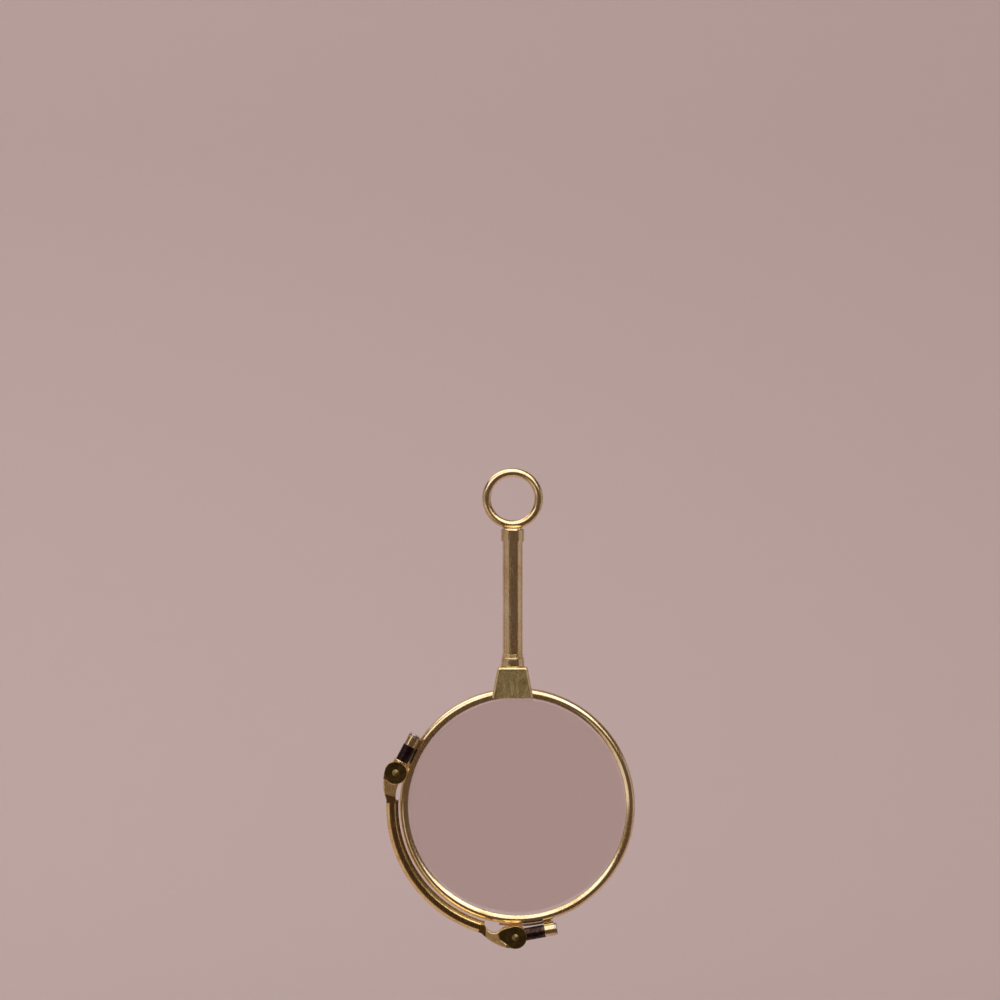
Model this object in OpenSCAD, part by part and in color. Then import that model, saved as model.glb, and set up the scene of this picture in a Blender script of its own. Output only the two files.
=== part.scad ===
// Folding lorgnette: two round lenses folded one behind the other under a short tube handle.
// X is to the right, Y is away from the viewer, Z is up. The origin is the centre of the
// suspension ring. Millimetres.

/* [Suspension ring] */
// Outside diameter of the ring
ring_d = 9.4; // [8.2:0.1:11]
// Diameter of the ring's round wire
ring_wire_d = 1.35; // [1:0.05:1.6]
// How deep the ring sits in the cap's solder
ring_seat = 0.12; // [0.08:0.02:0.2]

/* [Push cap] */
// Outside diameter of the cap
cap_d = 3.6; // [3.5:0.05:4.4]
// Height of the cap
cap_h = 2; // [1.9:0.05:2.6]
// Thickness of the cap's top
cap_top = 0.6; // [0.5:0.05:0.7]
// Rounding of the cap's upper edge
cap_round = 0.35; // [0.2:0.05:0.5]
// Running clearance between the cap's skirt and the tube, on the radius
cap_clearance = 0.04; // [0.02:0.01:0.06]
// How far the cap is pushed to let the rear lens go
push_travel = 0.8; // [0.6:0.05:0.85]

/* [Handle tube] */
// Outside diameter of the tube
tube_d = 3.12; // [3:0.02:3.3]
// Wall of the tube
tube_wall = 0.36; // [0.25:0.01:0.4]
// Length of the tube that shows between cap and flange
tube_show = 17.4; // [14:0.2:30]

/* [Push rod] */
// Diameter of the rod
rod_d = 0.9; // [0.8:0.05:1]
// Running clearance of the rod in its bores, on the radius
rod_clearance = 0.04; // [0.02:0.01:0.08]
// Diameter of the rod's neck at the catch
neck_d = 0.7; // [0.5:0.05:0.75]
// Thickness of the bush that guides the rod
bush_h = 1; // [0.6:0.1:2]
// Depth of the bush below the tube's upper end
bush_depth = 5.4; // [4.5:0.2:8]
// Diameter of the collar that stops the rod
stop_d = 1.7; // [1.4:0.05:2]
// Height of the collar that stops the rod
stop_h = 0.8; // [0.5:0.1:1.5]

/* [Return spring] */
// Wire diameter of the return spring
return_wire = 0.24; // [0.16:0.02:0.26]
// Number of turns of the return spring
return_turns = 8; // [5:1:9]

/* [Collar] */
// Diameter of the thin flange under the tube
flange_d = 3.4; // [3.35:0.05:4]
// Height of the thin flange
flange_h = 0.5; // [0.3:0.05:0.8]
// Diameter of the bead at its widest
bead_d = 3.76; // [3.6:0.02:4.2]
// Height of the bead
bead_h = 1.4; // [1.1:0.05:2]
// How much narrower the bead's ends are, on the radius
bead_taper = 0.2; // [0.1:0.05:0.3]
// Length of the spigots that join the collar to tube and block
spigot_h = 0.9; // [0.5:0.1:1.6]

/* [Block] */
// Width of the block at its top
block_top_w = 4.56; // [4.4:0.02:5.4]
// Width of the block at its bottom
block_bottom_w = 6.4; // [6:0.05:8]
// Height of the block
block_h = 4.7; // [4.55:0.05:6]
// Rounding of the block's upper corners
block_round = 0.45; // [0.2:0.05:0.7]
// Thickness of the wall in front of the front rim
block_front_wall = 0.8; // [0.7:0.05:1.4]
// How far the block reaches behind the middle of the rims
block_back = 1.9; // [1.8:0.05:2.6]
// Width of the raised border round the panel
border_w = 0.36; // [0.2:0.02:0.6]
// How deep the panel lies behind the border
panel_recess = 0.12; // [0.05:0.01:0.25]
// Thickness of the panel
panel_t = 0.3; // [0.2:0.02:0.4]
// How far the block's front wall reaches past the rim's inner edge
block_lip = 0.06; // [0.04:0.02:0.5]

/* [Rims and lenses] */
// Outside radius of each rim
rim_r = 18.1; // [16:0.1:21]
// Radial width of each rim
rim_w = 1.38; // [1.3:0.02:1.42]
// Depth of each rim, front to back
rim_depth = 1.5; // [1.4:0.02:1.7]
// Depth of each rim at its inner edge, where its two slopes end
rim_lip_depth = 1.1; // [1.04:0.02:1.2]
// Gap between the two folded rims
rim_gap = 0.3; // [0.2:0.02:0.5]
// How far the lenses sit to the right of the handle
lens_shift = 0.7; // [-0.5:0.1:1.2]
// Edge thickness of each lens
lens_edge_t = 0.9; // [0.7:0.05:1.1]
// How much each lens face bulges at its middle
lens_bulge = 0.22; // [0.1:0.02:0.3]
// Depth of the groove that holds the lens
groove_depth = 0.4; // [0.25:0.05:0.5]

/* [Hinges] */
// Angle of the upper hinge round the lens, from the right
upper_angle = 152.5; // [145:0.5:158]
// Angle of the lower hinge round the lens, from the right
lower_angle = 280.5; // [274:0.5:288]
// How far the upper hinge axis lies outside the rim
upper_standoff = 0.85; // [0.8:0.05:1.3]
// How far the lower hinge axis lies outside the rim
lower_standoff = 1.4; // [1.35:0.05:1.8]
// How far the upper hinge axis lies in front of the front rim's middle
hinge_forward = 1.6; // [1.6:0.05:2.2]
// Outside diameter of the gold knuckle
knuckle_d = 1.88; // [1.8:0.02:2.1]
// Length of the gold knuckle
knuckle_l = 1.5; // [1.1:0.05:1.8]
// Outside diameter of the dark spring sleeve
sleeve_d = 1.94; // [1.8:0.02:2.1]
// Wall of the spring sleeve
sleeve_wall = 0.25; // [0.2:0.01:0.28]
// Diameter of the hinge pin
pin_d = 0.7; // [0.6:0.02:0.72]
// Running clearance of the hinge pin, on the radius
pin_clearance = 0.03; // [0.02:0.01:0.05]
// Gap between the turning faces of sleeve and knuckle
face_gap = 0.05; // [0.03:0.01:0.1]
// Where the sleeve ends, along the hinge axis
sleeve_end = 0.68; // [0.4:0.02:1]
// Thickness of the cap on the knuckle's end
end_cap_t = 0.4; // [0.3:0.05:0.7]
// Wire diameter of the torsion springs
torsion_wire = 0.16; // [0.12:0.01:0.18]
// Number of turns of each torsion spring
torsion_turns = 5; // [3:1:6]

/* [Bridge] */
// Gap between the front rim and the bar
bar_gap = 0.52; // [0.4:0.02:0.8]
// Radial width of the bar
bar_w = 1.45; // [1.2:0.05:1.8]
// Depth of the bar
bar_depth = 1.5; // [1.3:0.05:1.6]
// Width of the bright bevel along the bar's outer edge
bar_bevel = 0.5; // [0.3:0.02:0.6]
// Width of the small bevels on the bar's other edges
bar_edge = 0.16; // [0.08:0.02:0.25]
// Thickness of the lip that reaches from the bar's back towards the rim
bar_lip_t = 0.35; // [0.25:0.05:0.5]
// Gap between the bar's lip and the front rim
bar_lip_gap = 0.12; // [0.1:0.02:0.2]
// Diameter of the round boss at each end
boss_d = 3.46; // [3.42:0.02:3.5]
// Distance of each boss's middle from the foot of its hinge axis
boss_back = 3.9; // [3.8:0.05:4.4]
// How far each boss stands in front of its hinge axis
boss_front = 0.75; // [0.7:0.01:0.85]
// Length of the ramp between bar and upper boss, in degrees round the lens
upper_ramp = 12.5; // [10:0.5:15]
// Length of the ramp between bar and lower boss, in degrees round the lens
lower_ramp = 15; // [12:0.5:17]
// Height of the bosses in front of the bar
boss_rise = 0.4; // [0.2:0.02:0.45]
// Diameter of the dark disc let into each boss
disc_d = 3.34; // [3:0.02:3.34]
// How far the lower disc's tail reaches over the ramp
tail_l = 2.6; // [2:0.05:2.8]
// Thickness of the dark disc
disc_t = 0.22; // [0.16:0.02:0.26]
// Diameter of the rivet head in the middle of each disc
rivet_d = 1.1; // [0.8:0.05:1.4]
// Height of the rivet head
rivet_h = 0.16; // [0.08:0.02:0.25]

/* [Hidden] */

// Smoothness of small round surfaces, of turned ones, of the long curves and of the wires
round_fn = 48;
turned_fn = 96;
long_fn = 180;
wire_sides = 6;
wire_rings = 8;
// Extra length of a cutting shape past the face that it cuts
past = 0.5;

gold = "#C9A227";
gold_dark = "#8C7B4F";
blued = "#2C2226";
steel = "#B9B4B0";
bronze = "#4A3C1C";
glass = "#DDE6E2";

// Clearance that is left where two pieces nearly touch
touch_gap = 0.02;

// Heights along the handle, from the ring down
cap_play = 0.15;
rod_seat = 0.3;
tenon_wall = 0.2;
cap_z = -ring_d / 2 + ring_seat;
skirt_z = cap_z - cap_h;
cap_under_z = cap_z - cap_top;
tube_top_z = cap_under_z - push_travel - cap_play;
tube_bottom_z = skirt_z - tube_show;
bead_top_z = tube_bottom_z - flange_h;
block_top_z = bead_top_z - bead_h;
block_bottom_z = block_top_z - block_h;
tube_bore_r = tube_d / 2 - tube_wall;
tenon_r = tube_bore_r - tenon_wall;
rod_top_z = cap_under_z + rod_seat;
rod_bore_r = rod_d / 2 + rod_clearance;
bush_top_z = tube_top_z - bush_depth;
bush_bottom_z = bush_top_z - bush_h;
seat_gap = 0.04;

// Rims and lenses
rim_inner_r = rim_r - rim_w;
rim_half = rim_depth / 2;
rim_mid_r = rim_r - rim_half;
rim_crest_r = rim_mid_r - 0.1;
lens_z = block_bottom_z + block_lip - rim_inner_r;
lens_pitch = rim_depth + rim_gap;
front_y = -lens_pitch / 2;
rear_y = lens_pitch / 2;
rim_top_z = lens_z + rim_r;
groove_clearance = 0.04;
lens_r = rim_inner_r + groove_depth - groove_clearance;
lens_flat_r = rim_inner_r - groove_clearance;
bulge_r = (lens_flat_r * lens_flat_r + lens_bulge * lens_bulge) / (2 * lens_bulge);

// Catch, stacked up from the top of the rims
head_d = 1.5;
head_h = 0.48;
head_cone = 0.2;
floor_gap = 0.26;
head_z = rim_top_z + floor_gap + push_travel;
lug_z = head_z + head_h + seat_gap;
lug_t = 0.55;
pocket_top_z = lug_z + lug_t + 0.4;
slot_w = neck_d + 0.24;
lug_w = 1.8;
post_w = 1.4;
post_y = head_d / 2 + 0.1;
post_depth = 0.65;
pocket_left = -lug_w / 2 - 0.8;
pocket_right = lug_w / 2 + 0.25;
pocket_foot = 0.2;
pocket_room = 0.2;
shoulder_rise = 0.1;

// Block
block_front_y = front_y - rim_half - block_front_wall;
notch_gap = 0.3;
block_skin = 0.1;

// Leaves that carry the knuckles on the rims
leaf_t = 0.45;
rear_leaf_t = 0.7;
leaf_half = 0.5;
leaf_sink = 0.15;
rear_leaf_shift = 0.15;

// Hinges: each axis touches the lens at its own distance and depth, and the two depths differ
// by half the distance between the lenses, so that the lenses lie in one plane when open
upper_reach = rim_r + upper_standoff;
lower_reach = rim_r + lower_standoff;
upper_y = front_y - hinge_forward;
lower_y = upper_y + lens_pitch / 2;
knuckle_start = sleeve_end + face_gap;
knuckle_end = knuckle_start + knuckle_l;
knuckle_wall = 0.3;
chamber_r = 0.66;
pin_head_r = chamber_r - 0.07;
pin_head_h = 0.24;
pin_head_z = knuckle_start + knuckle_wall + face_gap;
plug_l = knuckle_end - pin_head_z - pin_head_h - face_gap;
end_cap_r = knuckle_d / 2 - 0.05;
boss_r = boss_d / 2;
upper_sleeve_start = disc_d / 2 + 0.06 - boss_back;
lower_sleeve_start = 0.68 * boss_r - boss_back;
sleeve_floor = 0.35;
pin_root = 0.6;
socket_r = sleeve_d / 2 + 0.22;
socket_end = boss_r + 0.3 - boss_back;
torsion_r = (pin_d / 2 + sleeve_d / 2 - sleeve_wall) / 2;
rivet_shank_r = 0.28;
rivet_shank_l = 0.35;

// Bridge
bar_in_r = rim_r + bar_gap;
bar_out_r = bar_in_r + bar_w;
boss_face_y = upper_y - boss_front;
bar_face_y = boss_face_y + boss_rise;
bar_back_y = bar_face_y + bar_depth;
upper_boss_back_y = front_y - rim_half - 0.12;
lower_boss_back_y = lower_y + 0.72;
upper_boss_angle = upper_angle + atan(boss_back / upper_reach);
lower_boss_angle = lower_angle - atan(boss_back / lower_reach);
upper_boss_dist = norm([upper_reach, boss_back]);
lower_boss_dist = norm([lower_reach, boss_back]);
bar_start = upper_boss_angle + upper_ramp;
upper_dip = 0.1;
lower_dip = 1;
upper_ramp_in = upper_boss_dist - 0.75 * boss_r;
lower_ramp_in = lower_boss_dist - 0.95 * boss_r;
bar_end = lower_boss_angle - lower_ramp;

// Places its children in a frame whose Z is the lens axis towards the viewer
module at_lens(y = 0) {
  translate([lens_shift, y, lens_z]) rotate([90, 0, 0]) children();
}

// Places its children in a hinge's own frame: X away from the lens, Y away from the viewer,
// Z along the hinge axis from the boss to the knuckle
module at_hinge(angle, reach, y, turn) {
  translate([lens_shift, y, lens_z])
    rotate([0, -angle, 0])
      translate([reach, 0, 0])
        mirror([0, 0, turn < 0 ? 1 : 0])
          children();
}

module at_upper_hinge() { at_hinge(upper_angle, upper_reach, upper_y, -1) children(); }

module at_lower_hinge() { at_hinge(lower_angle, lower_reach, lower_y, 1) children(); }

// One ring of points round a tube's path point
function tube_ring(p, u, v, r, sides) =
  [for (i = [0:sides - 1]) p + r * (cos(360 * i / sides) * u + sin(360 * i / sides) * v)];

// Triangles between neighbouring rings, with a fan at each end
function tube_faces(rings, sides) = concat(
  [for (k = [0:rings - 2], i = [0:sides - 1])
    [k * sides + i, k * sides + (i + 1) % sides, (k + 1) * sides + i]],
  [for (k = [0:rings - 2], i = [0:sides - 1])
    [k * sides + (i + 1) % sides, (k + 1) * sides + (i + 1) % sides, (k + 1) * sides + i]],
  [for (i = [1:sides - 2]) [0, i + 1, i]],
  [for (i = [1:sides - 2])
    [(rings - 1) * sides, (rings - 1) * sides + i, (rings - 1) * sides + i + 1]]
);

// A coil spring along Z from z0 to z1, wound round the axis at a mean radius
module coil(mean_r, wire, turns, z0, z1) {
  steps = turns * wire_rings;
  low = z0 + wire / 2;
  rise = (z1 - z0 - wire) / steps;
  turn = 360 / wire_rings;
  rings = [for (k = [0:steps])
    let (a = k * turn, out = [cos(a), sin(a), 0])
    tube_ring([mean_r * cos(a), mean_r * sin(a), low + k * rise], out, [0, 0, 1],
      wire / 2, wire_sides)];
  points = [for (ring = rings, p = ring) p];
  polyhedron(points = points, faces = tube_faces(steps + 1, wire_sides));
}

// Outer round of a rim, as a full ring of round wire
module rim_round(y) {
  at_lens(y) rotate_extrude($fn = long_fn)
    translate([rim_mid_r, 0]) circle(r = rim_half, $fn = round_fn);
}

// Section of a rim: round outside, with a crest and a slope down to the lens on each face
module rim_section() {
  lip = rim_lip_depth / 2;
  translate([rim_mid_r, 0]) circle(r = rim_half, $fn = round_fn);
  polygon([[rim_inner_r, -lip], [rim_crest_r, -rim_half], [rim_mid_r, -rim_half],
    [rim_mid_r, rim_half], [rim_crest_r, rim_half], [rim_inner_r, lip]]);
}

// Rim with a V groove for the lens
module rim(y) {
  edge = lens_edge_t / 2 + groove_clearance;
  bottom = edge / 3;
  at_lens(y) rotate_extrude($fn = long_fn) difference() {
    rim_section();
    translate([rim_inner_r - rim_half, -rim_half]) square([rim_half, rim_depth]);
    polygon([[rim_inner_r - past, -edge], [rim_inner_r, -edge],
      [rim_inner_r + groove_depth, -bottom], [rim_inner_r + groove_depth, bottom],
      [rim_inner_r, edge], [rim_inner_r - past, edge]]);
  }
}

// Height of a lens face above its edge, at a distance from the middle
function face_rise(r) = sqrt(bulge_r * bulge_r - r * r) - bulge_r + lens_bulge;

// Lens with two bulging faces and a bevelled edge that lies in the groove
module lens(y) {
  edge = lens_edge_t / 2;
  steps = 10;
  at_lens(y) rotate_extrude($fn = long_fn) polygon(concat(
    [for (i = [0:steps]) let (r = lens_flat_r * i / steps) [r, -edge - face_rise(r)]],
    [[lens_r, -edge / 3], [lens_r, edge / 3]],
    [for (i = [steps:-1:0]) let (r = lens_flat_r * i / steps) [r, edge + face_rise(r)]]
  ));
}

// Full turn of the ring's round wire
module ring_wire() {
  rotate([90, 0, 0]) rotate_extrude($fn = turned_fn)
    translate([ring_d / 2 - ring_wire_d / 2, 0]) circle(d = ring_wire_d, $fn = round_fn);
}

module suspension_ring() { color(gold) ring_wire(); }

// Cup that slips over the tube, with a socket for the rod
module push_cap() {
  skirt_r = tube_d / 2 + cap_clearance;
  hub_r = rod_d / 2 + 0.22;
  hub_z = tube_top_z + push_travel - 0.5;
  color(gold) difference() {
    rotate_extrude($fn = turned_fn) polygon(concat(
      [[0, cap_z], [cap_d / 2 - cap_round, cap_z]],
      [for (a = [75:-15:0])
        [cap_d / 2 - cap_round + cap_round * cos(a), cap_z - cap_round + cap_round * sin(a)]],
      [[cap_d / 2, skirt_z], [skirt_r, skirt_z], [skirt_r, cap_under_z],
        [hub_r, cap_under_z], [hub_r, hub_z], [0, hub_z]]
    ));
    translate([0, 0, skirt_z - past])
      cylinder(d = rod_d, h = rod_top_z - skirt_z + past, $fn = round_fn);
    ring_wire();
  }
}

module push_rod() {
  shoulder_z = pocket_top_z + shoulder_rise;
  color(steel) {
    translate([0, 0, shoulder_z])
      cylinder(d = rod_d, h = rod_top_z - shoulder_z, $fn = round_fn);
    translate([0, 0, head_z + touch_gap])
      cylinder(d = neck_d, h = shoulder_z - head_z, $fn = round_fn);
  }
}

module stop_collar() {
  color(steel) translate([0, 0, bush_bottom_z - seat_gap - stop_h]) difference() {
    cylinder(d = stop_d, h = stop_h, $fn = round_fn);
    translate([0, 0, -past]) cylinder(d = rod_d, h = stop_h + 2 * past, $fn = round_fn);
  }
}

// Mushroom on the rod's end, whose cone seats in the lug's countersink
module catch_head() {
  color(steel) translate([0, 0, head_z]) difference() {
    union() {
      cylinder(d = head_d, h = head_h, $fn = round_fn);
      translate([0, 0, head_h])
        cylinder(d1 = head_d, d2 = head_d - 2 * head_cone, h = head_cone, $fn = round_fn);
    }
    translate([0, 0, -past]) cylinder(d = neck_d, h = head_h + head_cone + 2 * past, $fn = round_fn);
  }
}

// Compression spring between the cap and the bush
module return_spring() {
  outer = tube_bore_r - 3 * touch_gap;
  z1 = cap_under_z - touch_gap;
  z0 = bush_top_z + touch_gap;
  color(steel) coil(outer - return_wire / 2, return_wire, return_turns, z0, z1);
}

module handle_tube() {
  color(gold) translate([0, 0, tube_bottom_z]) difference() {
    cylinder(d = tube_d, h = tube_top_z - tube_bottom_z, $fn = turned_fn);
    translate([0, 0, -past])
      cylinder(r = tube_bore_r, h = tube_top_z - tube_bottom_z + 2 * past, $fn = turned_fn);
  }
}

module guide_bush() {
  color(gold_dark) translate([0, 0, bush_bottom_z]) difference() {
    cylinder(r = tube_bore_r, h = bush_h, $fn = round_fn);
    translate([0, 0, -past]) cylinder(r = rod_bore_r, h = bush_h + 2 * past, $fn = round_fn);
  }
}

// Thin ring between tube and bead, with a turned groove
module tube_flange() {
  low_r = flange_d / 2;
  high_r = low_r - 0.02;
  groove_r = low_r - 0.08;
  lip = flange_h * 0.3;
  slant = 0.04;
  color(gold) rotate_extrude($fn = turned_fn) polygon([
    [tube_bore_r, bead_top_z], [low_r, bead_top_z], [low_r, bead_top_z + lip],
    [groove_r, bead_top_z + lip + slant], [groove_r, tube_bottom_z - lip],
    [high_r, tube_bottom_z - lip + slant], [high_r, tube_bottom_z], [tube_bore_r, tube_bottom_z]
  ]);
}

// Bulging bead with a spigot into the tube and another into the block
module collar_bead() {
  end_r = bead_d / 2 - bead_taper;
  steps = 8;
  color(gold) rotate_extrude($fn = turned_fn) polygon(concat(
    [[rod_bore_r, block_top_z - spigot_h / 2], [tenon_r, block_top_z - spigot_h / 2],
      [tenon_r, block_top_z], [end_r, block_top_z]],
    [for (i = [1:steps - 1])
      let (f = i / steps)
      [end_r + bead_taper * sin(180 * f), block_top_z + bead_h * f]],
    [[end_r, bead_top_z], [tube_bore_r, bead_top_z], [tube_bore_r, tube_bottom_z + spigot_h],
      [rod_bore_r, tube_bottom_z + spigot_h]]
  ));
}

// Outline of the block, as seen from the front, drawn in by an inset on three sides
module block_outline(inset) {
  top = block_top_z - inset;
  slope = (block_bottom_w - block_top_w) / 2 / block_h;
  side = inset * norm([1, slope]);
  top_x = block_top_w / 2 + slope * inset - side;
  bottom_x = block_bottom_w / 2 - side;
  r = max(block_round - inset / 2, 0.1);
  lean = atan(slope);
  reach = r * tan((90 - lean) / 2);
  polygon(concat(
    [[-bottom_x, block_bottom_z], [bottom_x, block_bottom_z]],
    [for (a = [lean:(90 - lean) / 5:90.01])
      [top_x - reach + r * cos(a), top - r + r * sin(a)]],
    [for (a = [90:(90 - lean) / 5:180.01 - lean])
      [reach - top_x + r * cos(a), top - r + r * sin(a)]]
  ));
}

// Housing of the catch: its front wall covers the rims, and its back is open for the rear rim
module block_housing() {
  depth = block_back - block_front_y;
  open_y = block_back + past;
  pocket_floor_z = rim_top_z + pocket_foot;
  pocket_front_y = -head_d / 2 - pocket_room;
  color(gold) difference() {
    translate([0, block_back, 0]) rotate([90, 0, 0]) linear_extrude(depth) block_outline(0);
    translate([0, block_front_y + panel_recess + panel_t, 0]) rotate([90, 0, 0])
      linear_extrude(panel_recess + panel_t + past) block_outline(border_w);
    at_lens(front_y) rotate_extrude($fn = long_fn) rim_section();
    at_lens(open_y)
      cylinder(r = rim_mid_r + block_skin, h = open_y - front_y + rim_half - block_skin, $fn = long_fn);
    at_lens(open_y)
      cylinder(r = rim_r + notch_gap, h = open_y - front_y - rim_half - block_skin / 2, $fn = long_fn);
    translate([pocket_left, pocket_front_y, pocket_floor_z])
      cube([pocket_right - pocket_left, open_y - pocket_front_y, pocket_top_z - pocket_floor_z]);
    translate([0, 0, pocket_top_z - past])
      cylinder(r = rod_bore_r, h = block_top_z - pocket_top_z + 2 * past, $fn = round_fn);
    translate([0, 0, block_top_z - spigot_h / 2])
      cylinder(r = tenon_r, h = spigot_h / 2 + past, $fn = round_fn);
  }
}

// Panel inside the border, open to the block's bottom edge
module block_panel() {
  color(gold_dark) translate([0, block_front_y + panel_recess + panel_t, 0]) rotate([90, 0, 0])
    linear_extrude(panel_t) block_outline(border_w);
}

module front_rim() { color(gold) rim(front_y); }

module rear_rim() { color(gold) rim(rear_y); }

module front_lens() { color(glass) lens(front_y); }

module rear_lens() { color(glass) lens(rear_y); }

// Gold tube of a hinge, with a wall that runs on the pin and a chamber for the pin's head
module knuckle_barrel() {
  translate([0, 0, knuckle_start]) cylinder(d = knuckle_d, h = knuckle_l, $fn = round_fn);
}

module knuckle_bores() {
  translate([0, 0, knuckle_start - past])
    cylinder(d = pin_d + 2 * pin_clearance, h = knuckle_l, $fn = round_fn);
  translate([0, 0, knuckle_start + knuckle_wall])
    cylinder(r = chamber_r, h = knuckle_l + past, $fn = round_fn);
}

// Strip that lies along the rim's outer side, between two places along the hinge axis
module leaf_strip(y, thickness, from_angle, to_angle) {
  at_lens(y) rotate([0, 0, from_angle]) rotate_extrude(angle = to_angle - from_angle, $fn = long_fn)
    translate([rim_r - leaf_sink, -leaf_half]) square([thickness, 2 * leaf_half]);
}

// The upper knuckle stands in front of the front rim and is carried by it
module upper_knuckle() {
  tongue_x = -knuckle_d / 2 - 0.1;
  tongue_w = 0.9;
  color(gold) difference() {
    union() {
      at_upper_hinge() {
        knuckle_barrel();
        translate([tongue_x, 0, knuckle_start]) cube([tongue_w, hinge_forward, knuckle_l]);
      }
      leaf_strip(front_y, leaf_t, upper_angle - 6, upper_angle + 5);
    }
    at_upper_hinge() knuckle_bores();
    rim_round(front_y);
  }
}

// The lower knuckle reaches forward past the front rim from the rear rim
module lower_knuckle() {
  tongue_x = rim_r + 0.16 - lower_reach;
  tongue_w = 0.75;
  color(gold) difference() {
    union() {
      at_lower_hinge() {
        knuckle_barrel();
        translate([tongue_x, 0, knuckle_start]) cube([tongue_w, rear_y - lower_y, knuckle_l]);
      }
      leaf_strip(rear_y + rear_leaf_shift, rear_leaf_t, lower_angle - 19, lower_angle + 6);
    }
    at_lower_hinge() knuckle_bores();
    rim_round(rear_y);
  }
}

// Plug that closes the knuckle's chamber, with a flat cap outside
module end_cap() {
  bevel = 0.1;
  translate([0, 0, knuckle_end - plug_l]) cylinder(r = chamber_r, h = plug_l, $fn = round_fn);
  translate([0, 0, knuckle_end]) cylinder(r = end_cap_r, h = end_cap_t - bevel, $fn = round_fn);
  translate([0, 0, knuckle_end + end_cap_t - bevel])
    cylinder(r1 = end_cap_r, r2 = end_cap_r - bevel, h = bevel, $fn = round_fn);
}

module upper_end_cap() { color(steel) at_upper_hinge() end_cap(); }

module lower_end_cap() { color(steel) at_lower_hinge() end_cap(); }

// Pin fixed in the boss, with a head that holds the knuckle
module hinge_pin(start) {
  translate([0, 0, start - pin_root])
    cylinder(d = pin_d, h = pin_head_z - start + pin_root, $fn = round_fn);
  translate([0, 0, pin_head_z]) cylinder(r = pin_head_r, h = pin_head_h, $fn = round_fn);
}

module upper_pin() { color(steel) at_upper_hinge() hinge_pin(upper_sleeve_start); }

module lower_pin() { color(steel) at_lower_hinge() hinge_pin(lower_sleeve_start); }

// Dark sleeve that holds the torsion spring
module spring_sleeve(start) {
  length = sleeve_end - start;
  translate([0, 0, start]) difference() {
    cylinder(d = sleeve_d, h = length, $fn = round_fn);
    translate([0, 0, sleeve_floor])
      cylinder(r = sleeve_d / 2 - sleeve_wall, h = length, $fn = round_fn);
    translate([0, 0, -past]) cylinder(d = pin_d, h = 2 * past + sleeve_floor, $fn = round_fn);
  }
}

module upper_sleeve() { color(blued) at_upper_hinge() spring_sleeve(upper_sleeve_start); }

module lower_sleeve() { color(blued) at_lower_hinge() spring_sleeve(lower_sleeve_start); }

module torsion_spring(start) {
  z0 = start + sleeve_floor + touch_gap;
  coil(torsion_r, torsion_wire, torsion_turns, z0, sleeve_end - touch_gap);
}

module upper_torsion_spring() { color(steel) at_upper_hinge() torsion_spring(upper_sleeve_start); }

module lower_torsion_spring() { color(steel) at_lower_hinge() torsion_spring(lower_sleeve_start); }

// Frame of a boss's front face: Z points at the viewer
module at_boss(angle, dist) {
  at_lens(boss_face_y) rotate([0, 0, angle]) translate([dist, 0, 0]) children();
}

module at_upper_boss() { at_boss(upper_boss_angle, upper_boss_dist) children(); }

module at_lower_boss() { at_boss(lower_boss_angle, lower_boss_dist) children(); }

// Outline of a dark disc, which can have a tail that lies on the ramp
module disc_outline(tail) {
  r = disc_d / 2;
  circle(r = r, $fn = round_fn);
  if (tail > 0) polygon([
    [-0.9 * r, 0], [-0.84 * r, -0.5 * tail], [-0.38 * tail, -0.8 * tail], [-0.2 * tail, -tail],
    [0.12 * tail, -0.9 * tail], [0.8 * r, -0.55 * r]
  ]);
}

// Dark disc with a hole for its rivet
module boss_disc(tail) {
  translate([0, 0, -disc_t]) difference() {
    linear_extrude(disc_t - touch_gap) disc_outline(tail);
    translate([0, 0, -past]) cylinder(r = rivet_shank_r, h = disc_t + 2 * past, $fn = round_fn);
  }
}

module upper_disc() { color(bronze) at_upper_boss() boss_disc(0); }

module lower_disc() { color(bronze) at_lower_boss() boss_disc(tail_l); }

// Rivet with a low domed head
module boss_rivet() {
  r = rivet_d / 2;
  dome_r = (r * r + rivet_h * rivet_h) / (2 * rivet_h);
  translate([0, 0, -disc_t - rivet_shank_l])
    cylinder(r = rivet_shank_r, h = disc_t + rivet_shank_l, $fn = round_fn);
  translate([0, 0, -touch_gap]) intersection() {
    cylinder(r = r, h = rivet_h + past, $fn = round_fn);
    translate([0, 0, rivet_h - dome_r]) sphere(r = dome_r, $fn = turned_fn);
  }
}

module upper_rivet() { color(gold_dark) at_upper_boss() boss_rivet(); }

module lower_rivet() { color(gold_dark) at_lower_boss() boss_rivet(); }

// Section of the bar with its lip: X is the distance from the lens axis, Y is towards the viewer
module bar_section() {
  front = -bar_face_y;
  back = -bar_back_y;
  lip_r = rim_r + bar_lip_gap;
  polygon([
    [lip_r, back], [bar_out_r - bar_edge, back], [bar_out_r, back + bar_edge],
    [bar_out_r, front - bar_bevel], [bar_out_r - bar_bevel, front], [bar_in_r + bar_edge, front],
    [bar_in_r, front - bar_edge], [bar_in_r, back + bar_lip_t], [lip_r, back + bar_lip_t]
  ]);
}

// Point of the lens plane by distance and angle
function polar(r, a) = [r * cos(a), r * sin(a)];

// Distance from the lens axis of the ramp's outer and inner edge: f runs from the bar to the boss
function ramp_out(f, dist) = bar_out_r + (dist + boss_r - 0.05 - bar_out_r) * (1 - (1 - f) * (1 - f));
function ramp_in(f, end_r, dip) =
  bar_in_r + dip * sin(180 * min(f / 0.62, 1)) + (end_r - bar_in_r) * f * f * f;

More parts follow.
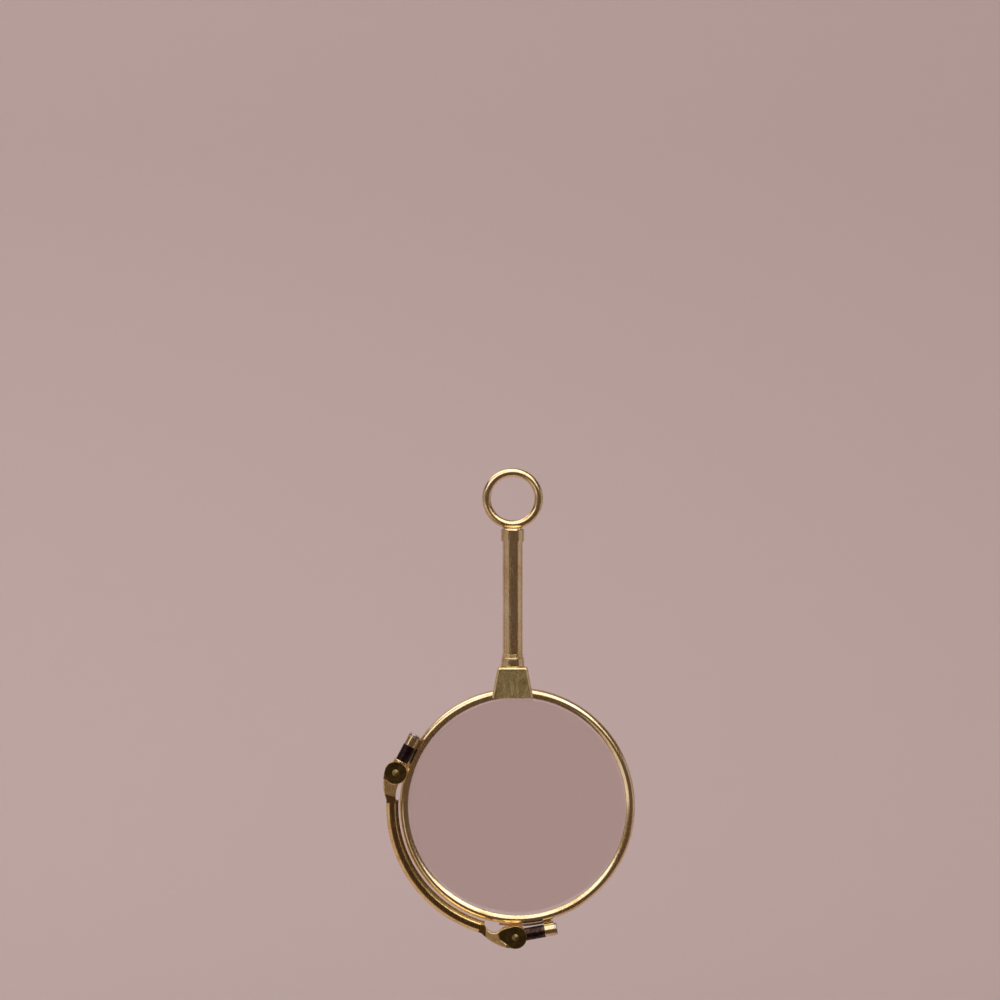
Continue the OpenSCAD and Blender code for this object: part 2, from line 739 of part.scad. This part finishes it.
// Web that widens and rises from the bar's end to a boss, with a hollow in its inner edge
module ramp(bar_angle, boss_angle, dist, end_r, back_y, dip) {
  side = bar_angle > boss_angle ? 1 : -1;
  root_angle = bar_angle + side * 1.5;
  inset = 0.06;
  top_gap = 0.01;
  length = dist * sin(abs(bar_angle - boss_angle));
  steps = 12;
  intersection() {
    at_lens(back_y) linear_extrude(back_y - boss_face_y + past) polygon(concat(
      [polar(bar_out_r - inset, root_angle)],
      [for (i = [0:steps]) let (f = i / steps)
        polar(ramp_out(f, dist), bar_angle + f * (boss_angle - bar_angle))],
      [for (i = [steps:-1:0]) let (f = i / steps)
        polar(ramp_in(f, end_r, dip), bar_angle + f * (boss_angle - bar_angle))],
      [polar(bar_in_r + inset, root_angle)]
    ));
    at_boss(boss_angle, dist) rotate([90, 0, 90]) linear_extrude(4 * boss_d, center = true) polygon([
      [-side * boss_r, -top_gap], [side * 0.8 * boss_r, -top_gap], [side * (length - 0.6), -boss_rise],
      [side * (length + boss_r), -boss_rise], [side * (length + boss_r), -boss_d],
      [-side * boss_r, -boss_d]
    ]);
  }
}

// Drum of a boss, rounded about the hinge axis so that it can turn close to the rim
module upper_boss() {
  intersection() {
    at_upper_boss() translate([0, 0, boss_face_y - upper_boss_back_y])
      cylinder(r = boss_r, h = upper_boss_back_y - boss_face_y, $fn = turned_fn);
    at_upper_hinge() translate([0, 0, -boss_back - boss_d])
      cylinder(r = boss_r + 0.02, h = 2 * boss_d, $fn = turned_fn);
  }
}

module lower_boss() {
  at_lower_boss() translate([0, 0, boss_face_y - lower_boss_back_y])
    cylinder(r = boss_r, h = lower_boss_back_y - boss_face_y, $fn = turned_fn);
}

// Collar on the upper boss, round the sleeve's end
module sleeve_collar() {
  root = 1.1;
  translate([0, 0, root - boss_back])
    cylinder(r = socket_r, h = socket_end + boss_back - root, $fn = round_fn);
}

// Socket for a sleeve and hole for its pin
module sleeve_socket(start) {
  translate([0, 0, start]) cylinder(d = sleeve_d, h = sleeve_end, $fn = round_fn);
  translate([0, 0, start - pin_root]) cylinder(d = pin_d, h = sleeve_end, $fn = round_fn);
}

// Recess for a disc and hole for its rivet
module disc_recess(tail) {
  translate([0, 0, -disc_t]) linear_extrude(disc_t + past) disc_outline(tail);
  translate([0, 0, -disc_t - rivet_shank_l])
    cylinder(r = rivet_shank_r, h = rivet_shank_l + past, $fn = round_fn);
}

module bridge_bar() {
  color(gold) difference() {
    union() {
      at_lens(0) rotate([0, 0, bar_start])
        rotate_extrude(angle = bar_end - bar_start, $fn = long_fn) bar_section();
      ramp(bar_start, upper_boss_angle, upper_boss_dist, upper_ramp_in, upper_boss_back_y, upper_dip);
      ramp(bar_end, lower_boss_angle, lower_boss_dist, lower_ramp_in, bar_back_y, lower_dip);
      upper_boss();
      lower_boss();
      at_upper_hinge() sleeve_collar();
    }
    at_upper_hinge() sleeve_socket(upper_sleeve_start);
    at_lower_hinge() sleeve_socket(lower_sleeve_start);
    at_upper_boss() disc_recess(0);
    at_lower_boss() disc_recess(tail_l);
  }
}

// Forked lug on the rear rim: its slot takes the rod's neck, its countersink the catch head
module catch_lug() {
  back = post_y + post_depth;
  front = -head_d / 2 - 0.05;
  foot_z = rim_top_z - 0.5;
  color(gold_dark) difference() {
    union() {
      translate([-lug_w / 2, front, lug_z]) cube([lug_w, back - front, lug_t]);
      translate([-post_w / 2, post_y, foot_z]) cube([post_w, post_depth, lug_z - foot_z]);
    }
    translate([-slot_w / 2, front - past, lug_z - past]) cube([slot_w, past - front, lug_t + 2 * past]);
    translate([0, 0, lug_z - past]) cylinder(d = slot_w, h = lug_t + 2 * past, $fn = round_fn);
    translate([0, 0, lug_z - seat_gap])
      cylinder(d1 = head_d + 4 * seat_gap, d2 = head_d - 2 * head_cone + 2 * seat_gap,
        h = head_cone + 2 * seat_gap, $fn = round_fn);
    rim_round(rear_y);
  }
}

suspension_ring();
push_cap();
push_rod();
stop_collar();
catch_head();
return_spring();
handle_tube();
guide_bush();
tube_flange();
collar_bead();
block_housing();
block_panel();
front_rim();
front_lens();
upper_knuckle();
upper_end_cap();
bridge_bar();
upper_pin();
upper_sleeve();
upper_torsion_spring();
upper_disc();
upper_rivet();
lower_pin();
lower_sleeve();
lower_torsion_spring();
lower_disc();
lower_rivet();
rear_rim();
rear_lens();
lower_knuckle();
lower_end_cap();
catch_lug();
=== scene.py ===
import math

import bpy
import bmesh
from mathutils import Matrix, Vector


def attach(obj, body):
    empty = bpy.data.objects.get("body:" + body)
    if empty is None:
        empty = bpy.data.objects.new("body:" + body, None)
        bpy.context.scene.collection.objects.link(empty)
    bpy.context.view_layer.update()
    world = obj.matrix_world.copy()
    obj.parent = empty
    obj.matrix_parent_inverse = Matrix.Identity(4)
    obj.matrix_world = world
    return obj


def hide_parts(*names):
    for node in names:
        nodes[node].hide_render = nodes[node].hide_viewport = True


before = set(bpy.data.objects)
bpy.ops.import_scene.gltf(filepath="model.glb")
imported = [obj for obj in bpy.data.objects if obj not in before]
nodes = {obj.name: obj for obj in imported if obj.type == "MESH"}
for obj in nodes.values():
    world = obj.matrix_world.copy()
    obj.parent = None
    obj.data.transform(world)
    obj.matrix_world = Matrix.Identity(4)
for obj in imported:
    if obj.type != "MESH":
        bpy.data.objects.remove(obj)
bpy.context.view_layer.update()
print("frame loaded:", len(nodes), "nodes")

mm = 0.001


def linearColour(hexText):
    channels = [int(hexText[i:i + 2], 16) / 255 for i in (1, 3, 5)]
    return [c / 12.92 if c <= 0.04045 else ((c + 0.055) / 1.055) ** 2.4 for c in channels] + [1.0]


def addNode(tree, kind, inputs=None, **settings):
    node = tree.nodes.new(kind)
    for name, value in settings.items():
        setattr(node, name, value)
    for name, value in (inputs or {}).items():
        if isinstance(value, bpy.types.NodeSocket):
            tree.links.new(value, node.inputs[name])
        else:
            node.inputs[name].default_value = value
    return node


def addRamp(tree, factor, stops):
    ramp = addNode(tree, "ShaderNodeValToRGB", {"Fac": factor})
    while len(ramp.color_ramp.elements) < len(stops):
        ramp.color_ramp.elements.new(0.5)
    for element, (place, colour) in zip(ramp.color_ramp.elements, stops):
        element.position = place
        element.color = linearColour(colour) if isinstance(colour, str) else [colour] * 3 + [1.0]
    return ramp


def newMaterial(name, **shaderSettings):
    material = bpy.data.materials.new(name)
    material.use_nodes = True
    tree = material.node_tree
    shader = tree.nodes["Principled BSDF"]
    for socket, value in shaderSettings.items():
        shader.inputs[socket.replace("_", " ")].default_value = value
    place = addNode(tree, "ShaderNodeTexCoord").outputs["Object"]
    return material, tree, shader, place


def perMillimetre(spacing):  # noise scale that puts about one grain in each spacing, in millimetres
    return 1 / (spacing * mm)


# where the noise of a worn metal changes from one tone or mark to the next, on the noise's own 0 to 1
wear = {"tones": (0.36, 0.5, 0.66), "lines": (0.56, 0.66), "smudge": (0.35, 0.7), "grainShare": 0.35}


def wornMetal(name, tones, smudge, hairline, grain):
    # tones: three colours from worn to tarnished; smudge, hairline and grain: how rough and deep each mark is
    material, tree, shader, place = newMaterial(name, Metallic=1.0)
    cloud = addNode(tree, "ShaderNodeTexNoise", {
        "Vector": place, "Scale": perMillimetre(smudge["size"]), "Detail": 5.0, "Roughness": 0.6})
    fine = addNode(tree, "ShaderNodeTexNoise", {
        "Vector": place, "Scale": perMillimetre(grain["size"]), "Detail": 3.0, "Roughness": 0.55})
    mixed = addNode(tree, "ShaderNodeMix", {
        "Factor": wear["grainShare"], "A": cloud.outputs["Fac"], "B": fine.outputs["Fac"]}, data_type="FLOAT")
    colour = addRamp(tree, mixed.outputs[0], list(zip(wear["tones"], tones)))
    tree.links.new(colour.outputs["Color"], shader.inputs["Base Color"])
    # hairlines: two sets of long thin noise, turned against each other
    lines = []
    for turn in hairline["turns"]:
        drawn = addNode(tree, "ShaderNodeMapping", {
            "Vector": place, "Rotation": turn, "Scale": (1.0, 1.0, hairline["stretch"])})
        line = addNode(tree, "ShaderNodeTexNoise", {
            "Vector": drawn.outputs["Vector"], "Scale": perMillimetre(hairline["spacing"]),
            "Detail": 2.0, "Roughness": 0.7})
        lines.append(addRamp(tree, line.outputs["Fac"], list(zip(wear["lines"], (0.0, 1.0)))).outputs["Color"])
    marks = addNode(tree, "ShaderNodeMath", {0: lines[0], 1: lines[1]}, operation="MAXIMUM")
    rough = addNode(tree, "ShaderNodeMapRange", {
        "Value": cloud.outputs["Fac"], "From Min": wear["smudge"][0], "From Max": wear["smudge"][1],
        "To Min": smudge["smooth"], "To Max": smudge["rough"]})
    scored = addNode(tree, "ShaderNodeMath", {
        0: marks.outputs[0], 1: hairline["rough"], 2: rough.outputs[0]}, operation="MULTIPLY_ADD")
    tree.links.new(scored.outputs[0], shader.inputs["Roughness"])
    edge = addNode(tree, "ShaderNodeBevel", {"Radius": grain["edge"] * mm}, samples=6)
    dent = addNode(tree, "ShaderNodeBump", {
        "Height": cloud.outputs["Fac"], "Distance": smudge["depth"] * mm, "Strength": 1.0,
        "Normal": edge.outputs["Normal"]})
    pit = addNode(tree, "ShaderNodeBump", {
        "Height": fine.outputs["Fac"], "Distance": grain["depth"] * mm, "Strength": 1.0,
        "Normal": dent.outputs["Normal"]})
    scratch = addNode(tree, "ShaderNodeBump", {
        "Height": marks.outputs[0], "Distance": hairline["depth"] * mm, "Strength": 1.0,
        "Normal": pit.outputs["Normal"]}, invert=True)
    tree.links.new(scratch.outputs["Normal"], shader.inputs["Normal"])
    return material


def groundGlass(name, tint, haze):
    material, tree, shader, place = newMaterial(name, IOR=1.52, Transmission_Weight=1.0)
    shader.inputs["Base Color"].default_value = linearColour(tint)
    film = addNode(tree, "ShaderNodeTexNoise", {
        "Vector": place, "Scale": perMillimetre(haze["size"]), "Detail": 4.0, "Roughness": 0.6})
    rough = addNode(tree, "ShaderNodeMapRange", {
        "Value": film.outputs["Fac"], "From Min": haze["patches"][0], "From Max": haze["patches"][1],
        "To Min": 0.0, "To Max": haze["rough"]})
    tree.links.new(rough.outputs[0], shader.inputs["Roughness"])
    return material


acrossTurns = [(0.35, 0.2, 0.0), (-0.5, 0.9, 0.6)]
# warm and mirror bright, broken by soft smudges: rims, tube, ring and barrels
rolledGold = wornMetal(
    "rolled gold polished", ["#F5E6C6", "#EAD4AA", "#C8AC78"],
    {"size": 7.0, "smooth": 0.12, "rough": 0.22, "depth": 0.02},
    {"turns": acrossTurns, "stretch": 0.08, "spacing": 0.12, "rough": 0.12, "depth": 0.0015},
    {"size": 0.35, "depth": 0.0015, "edge": 0.06})
# greenish and dull with crossed scratches: the block's panel
scratchedGold = wornMetal(
    "rolled gold scratched", ["#CDBB8A", "#B5A474", "#7F6E45"],
    {"size": 1.6, "smooth": 0.36, "rough": 0.5, "depth": 0.03},
    {"turns": acrossTurns, "stretch": 0.12, "spacing": 0.22, "rough": 0.15, "depth": 0.012},
    {"size": 0.3, "depth": 0.012, "edge": 0.03})
# pale and satin, so that the block's border reads as an even cream line
rubbedGold = wornMetal(
    "rolled gold rubbed", ["#F6E6C4", "#EAD6AA", "#CDB380"],
    {"size": 3.0, "smooth": 0.34, "rough": 0.42, "depth": 0.02},
    {"turns": acrossTurns, "stretch": 0.1, "spacing": 0.15, "rough": 0.12, "depth": 0.003},
    {"size": 0.3, "depth": 0.003, "edge": 0.2})
# a little lighter than the discs round them, so that the rivets stand out
rubbedBronze = wornMetal(
    "bronze rubbed", ["#A8956A", "#8C784C", "#5F4E2E"],
    {"size": 0.8, "smooth": 0.3, "rough": 0.42, "depth": 0.01},
    {"turns": acrossTurns, "stretch": 0.12, "spacing": 0.15, "rough": 0.12, "depth": 0.004},
    {"size": 0.2, "depth": 0.006, "edge": 0.05})
# cool and bright: the plugs in the barrels' ends
turnedSteel = wornMetal(
    "turned steel", ["#D9CFCB", "#BFB3AE", "#8F8480"],
    {"size": 1.2, "smooth": 0.2, "rough": 0.35, "depth": 0.01},
    {"turns": acrossTurns, "stretch": 0.1, "spacing": 0.1, "rough": 0.1, "depth": 0.002},
    {"size": 0.2, "depth": 0.003, "edge": 0.04})
# plain grey wire
springWire = wornMetal(
    "drawn spring wire", ["#A7A3A0", "#8B8784", "#5F5B58"],
    {"size": 1.0, "smooth": 0.25, "rough": 0.4, "depth": 0.005},
    {"turns": acrossTurns, "stretch": 0.1, "spacing": 0.08, "rough": 0.1, "depth": 0.001},
    {"size": 0.15, "depth": 0.002, "edge": 0.02})
# nearly black with brown wear: the hinge sleeves
bluedSteel = wornMetal(
    "blued steel rubbed", ["#6E5446", "#382A2C", "#231A20"],
    {"size": 0.9, "smooth": 0.22, "rough": 0.38, "depth": 0.01},
    {"turns": acrossTurns, "stretch": 0.1, "spacing": 0.12, "rough": 0.12, "depth": 0.003},
    {"size": 0.2, "depth": 0.004, "edge": 0.05})
# dark brown and half matt: the discs on the bosses; the dark brown is painted shade, a dark reflection of their
# flat faces, with tone that varies at random
discBronzePaintedShade = wornMetal(
    "bronze with painted shade", ["#7A673E", "#594828", "#3A2D18"],
    {"size": 1.3, "smooth": 0.3, "rough": 0.42, "depth": 0.015},
    {"turns": acrossTurns, "stretch": 0.12, "spacing": 0.18, "rough": 0.15, "depth": 0.004},
    {"size": 0.22, "depth": 0.006, "edge": 0.04})


def bridgeGold(tones, facing):
    # gold with painted shade on the bar's flat front, a brown dark reflection, and a matt look on the slopes up
    # to the bosses
    material = wornMetal(
        "rolled gold of the bridge", tones,
        {"size": 1.3, "smooth": 0.14, "rough": 0.28, "depth": 0.05},
        {"turns": acrossTurns, "stretch": 0.08, "spacing": 0.12, "rough": 0.12, "depth": 0.0015},
        {"size": 0.35, "depth": 0.0015, "edge": 0.3})
    tree = material.node_tree
    shader = tree.nodes["Principled BSDF"]
    normal = addNode(tree, "ShaderNodeTexCoord").outputs["Normal"]
    parts = addNode(tree, "ShaderNodeSeparateXYZ", {"Vector": normal})
    towards = addNode(tree, "ShaderNodeMath", {0: parts.outputs["Y"], 1: -1.0}, operation="MULTIPLY")
    flat, slope = [addNode(tree, "ShaderNodeMapRange", {
        "Value": towards.outputs[0], "From Min": facing[part][0], "From Max": facing[part][1]})
        for part in ("flat", "slope")]
    onSlope = addNode(tree, "ShaderNodeMath", {0: slope.outputs[0], 1: flat.outputs[0]}, operation="SUBTRACT")
    worn = shader.inputs["Base Color"].links[0].from_socket
    rough = shader.inputs["Roughness"].links[0].from_socket
    # painted shade: faces that look straight forward are mixed towards a brown dark reflection colour
    paintedShade = addNode(tree, "ShaderNodeMath", {0: flat.outputs[0], 1: facing["paintedShade"]}, operation="MULTIPLY")
    colour = addNode(tree, "ShaderNodeMix", {
        "Factor": paintedShade.outputs[0], "A": worn, "B": linearColour(facing["shadeColour"])}, data_type="RGBA")
    matt = addNode(tree, "ShaderNodeMath", {
        0: onSlope.outputs[0], 1: facing["matt"], 2: rough}, operation="MULTIPLY_ADD")
    tree.links.new(colour.outputs["Result"], shader.inputs["Base Color"])
    tree.links.new(matt.outputs[0], shader.inputs["Roughness"])
    return material


# flat and slope: how squarely a face looks forward, as the cosine of its tilt; the flat front gets painted shade,
# a brown dark reflection
bridgeGoldPaintedShade = bridgeGold(
    ["#FAE6B6", "#F1D498", "#D0AB68"],
    {"flat": (0.9965, 0.999), "slope": (0.96, 0.99), "paintedShade": 0.85, "shadeColour": "#8A6C3E", "matt": 0.1})
# clear with a faint film in patches
lensGlass = groundGlass("crown glass polished", "#F8F3F2", {"size": 6.0, "patches": (0.5, 0.75), "rough": 0.03})
print("materials made")

finishes = {
    "suspension_ring": rolledGold, "push_cap": rolledGold, "push_rod": turnedSteel,
    "stop_collar": turnedSteel, "catch_head": turnedSteel, "return_spring": springWire,
    "handle_tube": rolledGold, "guide_bush": scratchedGold, "tube_flange": rolledGold,
    "collar_bead": rolledGold, "block_housing": rubbedGold, "block_panel": scratchedGold,
    "front_rim": rolledGold, "rear_rim": rolledGold, "front_lens": lensGlass, "rear_lens": lensGlass,
    "upper_knuckle": rolledGold, "lower_knuckle": rolledGold,
    "upper_end_cap": turnedSteel, "lower_end_cap": turnedSteel, "bridge_bar": bridgeGoldPaintedShade,
    "upper_pin": turnedSteel, "lower_pin": turnedSteel, "upper_sleeve": bluedSteel, "lower_sleeve": bluedSteel,
    "upper_torsion_spring": springWire, "lower_torsion_spring": springWire,
    "upper_disc": discBronzePaintedShade, "lower_disc": discBronzePaintedShade,
    "upper_rivet": rubbedBronze, "lower_rivet": rubbedBronze, "catch_lug": scratchedGold,
}
for name, material in finishes.items():
    mesh = nodes[name].data
    mesh.materials.clear()
    mesh.materials.append(material)
print("finishes given to", len(finishes), "nodes")

# the line through both lenses, and how far apart turned points may lie to be merged, in millimetres
opticAxis = {"x": 0.7, "z": -47.24, "depths": (("front", "handle", -0.9), ("rear", "rear_lens_frame", 0.9))}
weld = {"turned": 0.0005, "block": 0.001}


def arcPoints(centre, radius, fromTurn, toTurn, steps):
    turns = [math.radians(fromTurn + (toTurn - fromTurn) * i / steps) for i in range(steps + 1)]
    return [(centre[0] + radius * math.cos(t), centre[1] + radius * math.sin(t)) for t in turns]


def spunPiece(name, profile, centre, along, material, replaced, body, segments=192):
    # profile: radius and height along the axis in millimetres, turned a full turn about the axis
    mesh = bpy.data.meshes.new(name)
    turned = bmesh.new()
    centre, along = Vector(centre) * mm, Vector(along)
    verts = [
        turned.verts.new(centre + (Vector((radius, 0, 0)) + along * height) * mm) for radius, height in profile]
    for first, second in zip(verts, verts[1:]):
        turned.edges.new((first, second))
    if profile[0][0] > 0:
        turned.edges.new((verts[-1], verts[0]))
    bmesh.ops.spin(
        turned, geom=turned.verts[:] + turned.edges[:], cent=centre, axis=along, angle=2 * math.pi,
        steps=segments, use_merge=True)
    bmesh.ops.remove_doubles(turned, verts=turned.verts[:], dist=weld["turned"] * mm)
    bmesh.ops.recalc_face_normals(turned, faces=turned.faces[:])
    for face in turned.faces:
        face.smooth = True
    turned.to_mesh(mesh)
    turned.free()
    mesh.materials.append(material)
    piece = bpy.data.objects.new(name, mesh)
    bpy.context.scene.collection.objects.link(piece)
    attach(piece, body)
    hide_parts(replaced)


# radii from the lens axis, and half widths along it; ease rounds the lip and the crest
rimShape = {
    "inner": 16.72, "lip": 0.55, "crest": 17.25, "middle": 17.35, "half": 0.75, "groove": 17.12,
    "edge": 0.49, "bottom": 0.163, "ease": 0.05, "lipEase": (0.03, 0.02, 0.01), "crestEase": 0.004}


def rimProfile(shape):
    # half a section from the groove's bottom out to the crest, then the round outside, then the same mirrored
    inner, lip, crest, half, ease = (shape[key] for key in ("inner", "lip", "crest", "half", "ease"))
    across, below, above = shape["lipEase"]
    slope = (half - lip) / (crest - inner)
    side = [
        (shape["groove"], shape["bottom"]), (inner, shape["edge"]), (inner, lip - below),
        (inner + across, lip + above), (crest - ease, half - slope * ease), (crest, half - shape["crestEase"])]
    outside = arcPoints((shape["middle"], 0), half, 90, -90, 24)
    return side + outside + [(radius, -height) for radius, height in reversed(side)]


lensShape = {"flat": 16.68, "edge": 0.45, "bevel": 17.08, "bottom": 0.15, "bulge": 0.22, "steps": 32}


def lensProfile(shape):
    curve = (shape["flat"] ** 2 + shape["bulge"] ** 2) / (2 * shape["bulge"])
    face = []
    for i in range(shape["steps"] + 1):
        radius = shape["flat"] * i / shape["steps"]
        face.append((radius, shape["edge"] + math.sqrt(curve ** 2 - radius ** 2) - curve + shape["bulge"]))
    half = face + [(shape["bevel"], shape["bottom"])]
    return half + [(radius, -height) for radius, height in reversed(half)]


for name, body, depth in opticAxis["depths"]:
    place = (opticAxis["x"], depth, opticAxis["z"])
    spunPiece(name + "RimTurned", rimProfile(rimShape), place, (0, -1, 0), rolledGold, name + "_rim", body)
    spunPiece(name + "LensGround", lensProfile(lensShape), place, (0, -1, 0), lensGlass, name + "_lens", body)
print("rims and lenses turned")

# heights along the handle's axis, and radii from it
beadShape = {
    "top": -24.48, "bottom": -25.88, "bore": 0.49, "foot": 1.86, "head": 1.76, "ease": 0.14,
    "tenon": 1.0, "tenonEnd": -26.33, "spigot": 1.2, "spigotEnd": -23.08}


def beadProfile(shape):
    # tenon, slightly flared band with eased edges, spigot
    top, bottom, ease = shape["top"], shape["bottom"], shape["ease"]
    below = [(shape["bore"], shape["tenonEnd"]), (shape["tenon"], shape["tenonEnd"]), (shape["tenon"], bottom)]
    lower = arcPoints((shape["foot"] - ease, bottom + ease), ease, -90, 0, 6)
    upper = arcPoints((shape["head"] - ease, top - ease), ease, 0, 90, 6)
    above = [(shape["spigot"], top), (shape["spigot"], shape["spigotEnd"]), (shape["bore"], shape["spigotEnd"])]
    return below + lower + upper + above


spunPiece("collarTurned", beadProfile(beadShape), (0, 0, 0), (0, 0, 1), rolledGold, "collar_bead", "handle")
print("collar turned")

# foot is the height above the block's bottom below which an edge stays sharp, in millimetres
blockShape = {"frontY": -2.45, "borderBevel": 0.3, "bottomZ": -30.58, "foot": 0.2, "skew": 0.02, "wallDepth": 1.0}
sharpTurn = math.radians(28)


def easedBlock(shape):
    # the block with the front edge of its border rounded over
    source = nodes["block_housing"].data
    mesh = bpy.data.meshes.new("blockEased")
    block = bmesh.new()
    block.from_mesh(source)
    bmesh.ops.remove_doubles(block, verts=block.verts[:], dist=weld["block"] * mm)
    bmesh.ops.dissolve_limit(
        block, angle_limit=math.radians(1), verts=block.verts[:], edges=block.edges[:], delimit={"NORMAL"})
    front, low = shape["frontY"] * mm, (shape["bottomZ"] + shape["foot"]) * mm
    behind = front + shape["wallDepth"] * mm
    rim = [
        edge for edge in block.edges
        if all(abs(vert.co.y - front) < shape["skew"] * mm for vert in edge.verts)
        and any(abs(face.normal.y) < 0.5 and face.calc_center_median().y > behind for face in edge.link_faces)
        and max(vert.co.z for vert in edge.verts) > low]
    print("block edges rounded:", len(rim))
    bmesh.ops.bevel(
        block, geom=rim, offset=shape["borderBevel"] * mm, segments=4, profile=0.5, affect="EDGES", material=-1,
        clamp_overlap=True)
    bmesh.ops.recalc_face_normals(block, faces=block.faces[:])
    for face in block.faces:
        face.smooth = True
    block.to_mesh(mesh)
    block.free()
    mesh.set_sharp_from_angle(angle=sharpTurn)
    mesh.materials.clear()
    mesh.materials.append(rubbedGold)
    piece = bpy.data.objects.new("blockEased", mesh)
    bpy.context.scene.collection.objects.link(piece)
    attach(piece, "handle")
    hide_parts("block_housing")


easedBlock(blockShape)
print("block eased")

# metres
stageSizes = {"floorZ": -0.16, "backY": 0.75, "frontY": -0.05, "half": 1.6, "height": 1.2, "sweep": 0.3}


def makeBackdrop(sizes):
    # one sheet: floor, a round sweep and a wall
    mesh = bpy.data.meshes.new("backdrop")
    sheet = bmesh.new()
    corner = sheet.verts.new((-sizes["half"], sizes["frontY"], sizes["floorZ"]))
    bend = sheet.verts.new((-sizes["half"], sizes["backY"] - sizes["sweep"], sizes["floorZ"]))
    sheet.edges.new((corner, bend))
    centre = (-sizes["half"], sizes["backY"] - sizes["sweep"], sizes["floorZ"] + sizes["sweep"])
    swept = bmesh.ops.spin(sheet, geom=[bend], cent=centre, axis=(1, 0, 0), angle=math.pi / 2, steps=16)
    last = [g for g in swept["geom_last"] if isinstance(g, bmesh.types.BMVert)][0]
    top = sheet.verts.new((-sizes["half"], sizes["backY"], sizes["height"]))
    sheet.edges.new((last, top))
    wide = bmesh.ops.extrude_edge_only(sheet, edges=sheet.edges[:])
    moved = [g for g in wide["geom"] if isinstance(g, bmesh.types.BMVert)]
    bmesh.ops.translate(sheet, verts=moved, vec=(2 * sizes["half"], 0, 0))
    bmesh.ops.recalc_face_normals(sheet, faces=sheet.faces)
    for face in sheet.faces:
        face.smooth = True
    sheet.to_mesh(mesh)
    sheet.free()
    backdrop = bpy.data.objects.new("backdrop", mesh)
    bpy.context.scene.collection.objects.link(backdrop)
    return backdrop


backdropPaper = newMaterial("matt paper", Roughness=0.9)[0]
backdropPaper.node_tree.nodes["Principled BSDF"].inputs["Base Color"].default_value = linearColour("#CBBABC")
backdrop = makeBackdrop(stageSizes)
backdrop.data.materials.append(backdropPaper)
print("backdrop made")

# at and size in metres; glow is a panel's radiance
lamps = {
    "topPanel": {"at": (-0.1, -0.15, 0.95), "size": (2.4, 0.8), "glow": 1.8, "colour": "#FFFBF4"},
    "frontPanel": {"at": (-0.1, -1.1, 0.75), "size": (2.6, 0.9), "glow": 1.5, "colour": "#FFFBF6"},
    "leftPanel": {"at": (-1.0, -0.25, 0.0), "size": (1.3, 0.7), "glow": 0.27, "colour": "#FFF0E4"},
    "rightPanel": {"at": (1.0, -0.05, 0.0), "size": (0.9, 0.7), "glow": 0.3, "colour": "#FFF0E4"},
    "lowPanel": {"at": (-0.8, -0.9, -0.5), "size": (0.9, 0.7), "glow": 0.6, "colour": "#FFF0E0"},
}
aim = Vector((0.0, 0.0, -0.035))  # the middle of the lorgnette's height
for name, lamp in lamps.items():
    light = bpy.data.lights.new(name, "AREA")
    light.shape = "RECTANGLE"
    light.size, light.size_y = lamp["size"]
    light.energy = lamp["glow"] * math.pi * lamp["size"][0] * lamp["size"][1]
    light.color = linearColour(lamp["colour"])[:3]
    holder = bpy.data.objects.new(name, light)
    holder.location = lamp["at"]
    holder.rotation_mode = "QUATERNION"
    holder.rotation_quaternion = (aim - Vector(lamp["at"])).to_track_quat("-Z", "Y")
    bpy.context.scene.collection.objects.link(holder)

world = bpy.data.worlds.new("studio")
world.use_nodes = True
sky = world.node_tree.nodes["Background"]
sky.inputs["Color"].default_value = linearColour("#E0B79C")
sky.inputs["Strength"].default_value = 0.15
bpy.context.scene.world = world
print("lamps set")

# width is what the picture spans at the lorgnette's distance; film is the sensor's width in millimetres
view = {"x": -1.94 * mm, "z": -0.22 * mm, "distance": 0.5, "width": 153.85 * mm, "film": 36.0}
cameraData = bpy.data.cameras.new("camera")
cameraData.sensor_width = view["film"]
cameraData.lens = view["film"] * view["distance"] / view["width"]
cameraData.clip_start = 0.01
cameraData.clip_end = 20.0
camera = bpy.data.objects.new("camera", cameraData)
camera.location = (view["x"], -view["distance"], view["z"])
camera.rotation_euler = (math.pi / 2, 0, 0)
bpy.context.scene.collection.objects.link(camera)
bpy.context.scene.camera = camera
bpy.context.scene.view_settings.view_transform = "Standard"
print("camera set")
